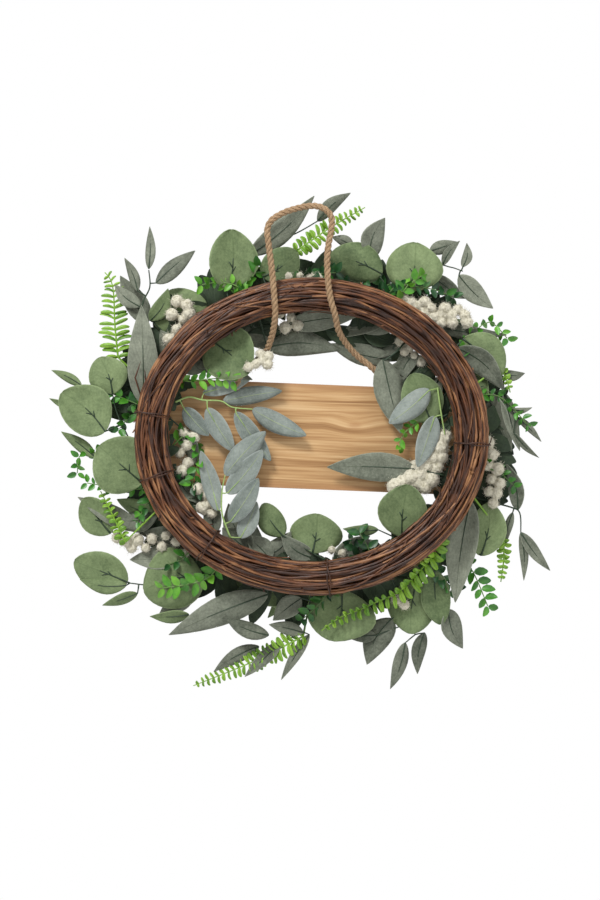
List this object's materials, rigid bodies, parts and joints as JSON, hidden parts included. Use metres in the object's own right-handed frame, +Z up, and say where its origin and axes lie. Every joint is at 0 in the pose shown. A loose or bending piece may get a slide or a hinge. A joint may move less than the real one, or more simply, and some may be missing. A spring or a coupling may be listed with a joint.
{
  "type": "hanging door wreath",
  "caption": "Round door wreath: a ring of twisted vines with artificial eucalyptus, fern and boxwood sprays and a blank wooden board, hung by a rope loop.",
  "frame": {"origin": "inside of the top of the rope loop, where the door hook holds it", "axes": "+Z up, +Y towards the painted front of the board and away from the door, +X to the right as seen from the back"},
  "size_m": [0.497, 0.0819, 0.492],
  "materials": {
    "vine": "dry bark, matte",
    "binding": "dry thin vine, matte",
    "pine": "planed and lightly stained, satin",
    "jute": "three-ply twisted rope, rough",
    "sage_leaf": "printed and flocked leaf, matte",
    "grey_leaf": "printed leaf, matte",
    "blue_leaf": "dusted leaf, matte",
    "fern": "moulded, slightly glossy",
    "boxwood": "moulded, slightly glossy",
    "cream_fluff": "fluffy fibre"
  },
  "bodies": {
    "wreath": {"binding_vine_1": "binding", "binding_vine_2": "binding", "boxwood_pick_bottom_right": "boxwood", "cream_sprig_inner_right": "cream_fluff", "dark_leaf_inner_right": "grey_leaf", "fern_frond_bottom": "fern", "fern_frond_bottom_right": "fern", "fern_frond_left": "fern", "fern_frond_top": "fern", "fluff_sprig_inner_left": "cream_fluff", "fluff_sprig_left_low": "cream_fluff", "fluff_sprig_right": "cream_fluff", "fluff_sprig_top_left": "cream_fluff", "fluff_sprig_top_right": "cream_fluff", "front_spray_bottom_left": "sage_leaf", "front_spray_bottom_right": "sage_leaf", "front_spray_top_left": "sage_leaf", "front_spray_top_right": "sage_leaf", "grey_leaf_inner_right": "grey_leaf", "leaf_pair_inner_top": "grey_leaf", "leaf_spray_right_high": "sage_leaf", "light_sprig_inner_left_high": "blue_leaf", "light_sprig_inner_left_low": "blue_leaf", "light_sprig_inner_right": "blue_leaf", "long_leaf_inner_right_low": "grey_leaf", "long_leaf_right_high": "grey_leaf", "long_leaf_spray_bottom_left": "grey_leaf", "long_leaf_spray_bottom_right": "grey_leaf", "long_leaf_spray_left": "grey_leaf", "rope_strand_left": "jute", "rope_strand_right": "jute", "round_leaf_bottom": "sage_leaf", "round_leaf_bottom_left": "sage_leaf", "round_leaf_inner_bottom": "sage_leaf", "round_leaf_inner_left": "sage_leaf", "round_leaf_inner_right": "sage_leaf", "round_leaf_inner_right_low": "sage_leaf", "round_leaf_left": "sage_leaf", "round_leaf_pair_bottom_right": "sage_leaf", "round_leaf_pair_left": "sage_leaf", "round_leaf_pair_left_low": "sage_leaf", "round_leaf_pair_top_right": "sage_leaf", "round_leaf_right_low": "sage_leaf", "round_leaf_spray_left_low": "sage_leaf", "round_leaf_spray_top_left": "sage_leaf", "round_leaf_top_left": "sage_leaf", "thin_leaf_spray_right": "grey_leaf", "vine_cane_1": "vine", "vine_cane_2": "vine", "vine_core": "vine", "willow_pair_top_right": "grey_leaf", "willow_spray_top": "grey_leaf", "willow_sprig_bottom_right": "grey_leaf", "willow_sprig_right_low": "grey_leaf", "willow_sprig_top_left": "grey_leaf", "willow_sprig_top_right": "grey_leaf"},
    "sign": {"sign_board": "pine", "rope_knot_left": "jute", "rope_knot_right": "jute"},
    "hanger": {"hanger_loop": "jute"}
  },
  "joints": [
    {"name": "sign_swing", "type": "hinge", "parent": "wreath", "child": "sign", "pos_m": [0.00169, 0.0465, -0.17903], "axis": [0.9992, 0, -0.0401], "range_deg": [0, 24]},
    {"name": "hanger_fold", "type": "hinge", "parent": "wreath", "child": "hanger", "pos_m": [0, -0.003, -0.065], "axis": [1, 0, 0], "range_deg": [0, 150]}
  ]
}
